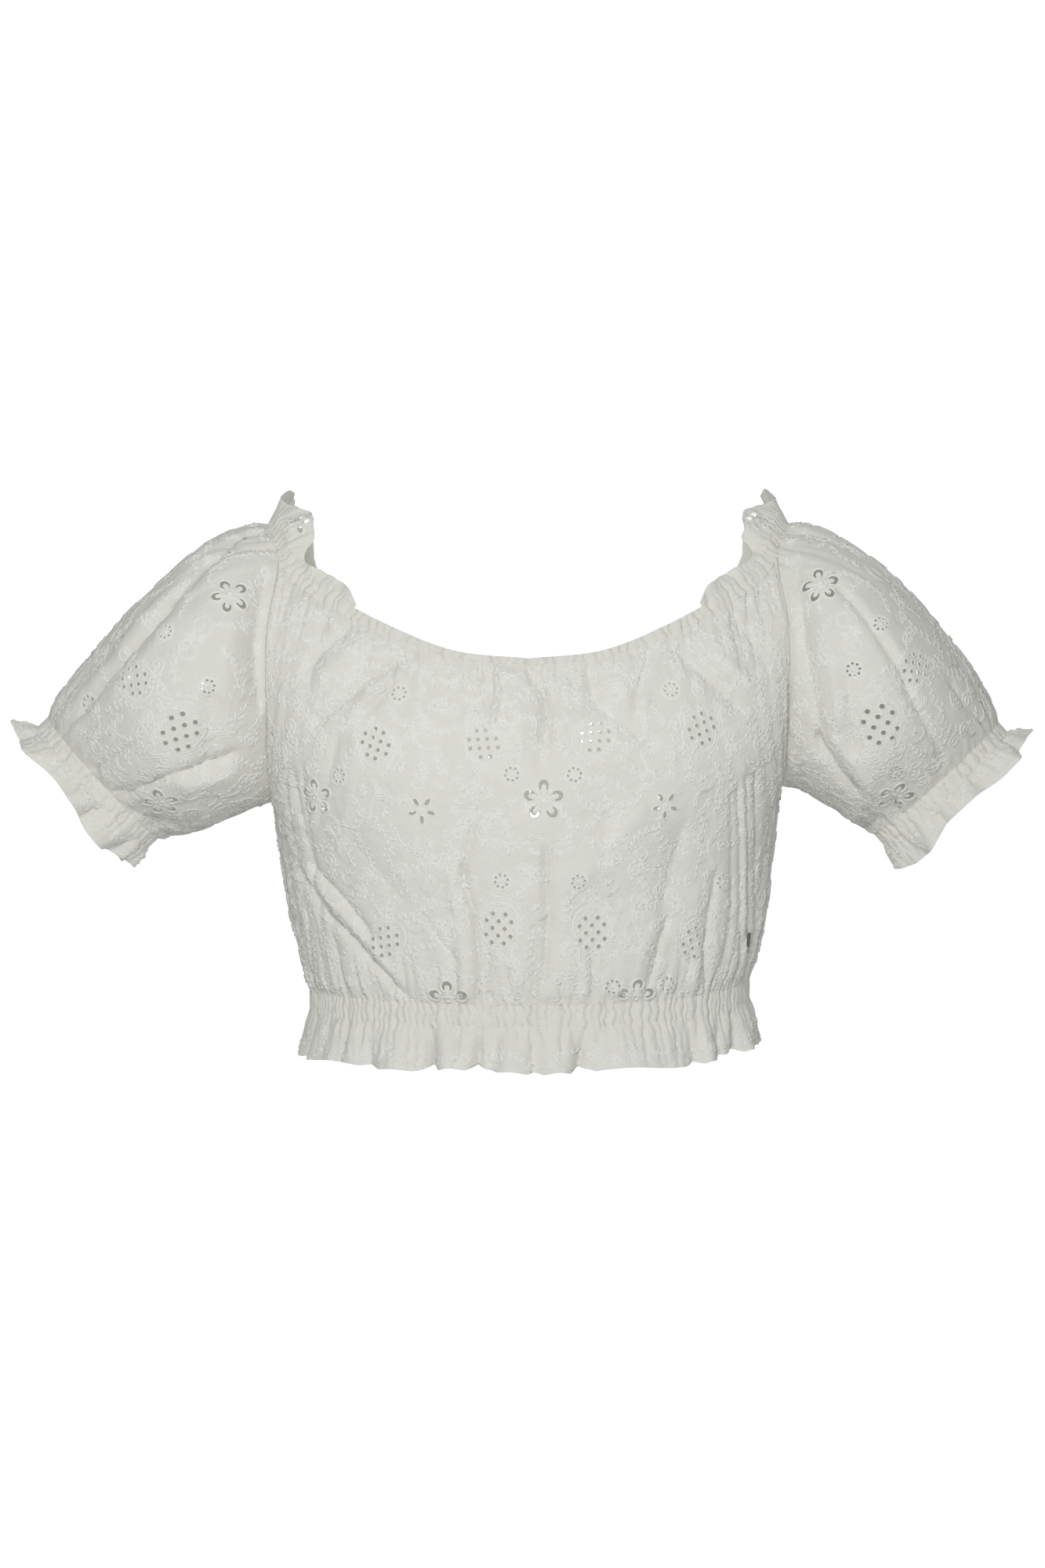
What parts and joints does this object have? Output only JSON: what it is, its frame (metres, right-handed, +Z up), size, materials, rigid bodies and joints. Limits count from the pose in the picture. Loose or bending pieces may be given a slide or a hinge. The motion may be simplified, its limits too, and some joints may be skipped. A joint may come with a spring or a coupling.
{
  "type": "broderie anglaise cotton crop top",
  "caption": "Hollow cropped off-shoulder top of white eyelet cotton, as worn: short puff sleeves, gathered neck, waist and cuffs, each with a ruffle.",
  "frame": {"origin": "middle of the neckline opening, level with the lowest point of the front neckline, where the wearer holds the top up", "axes": "+X to the right seen from the front, -Y towards the viewer in front, +Z up"},
  "size_m": [0.6958, 0.224, 0.3908],
  "materials": {
    "cotton": "matt plain weave with satin-stitch embroidery",
    "tag": "matt woven tape"
  },
  "bodies": {
    "root": {"front": "cotton", "back": "cotton", "sleeve_left_front": "cotton", "sleeve_left_back": "cotton", "sleeve_right_front": "cotton", "sleeve_right_back": "cotton", "neck_casing": "cotton", "neck_ruffle_left": "cotton", "neck_ruffle_right": "cotton", "waist_casing": "cotton", "hem_ruffle": "cotton", "cuff_casing_left": "cotton", "cuff_casing_right": "cotton", "cuff_ruffle_left": "cotton", "cuff_ruffle_right": "cotton", "side_tag": "tag"}
  },
  "joints": []
}
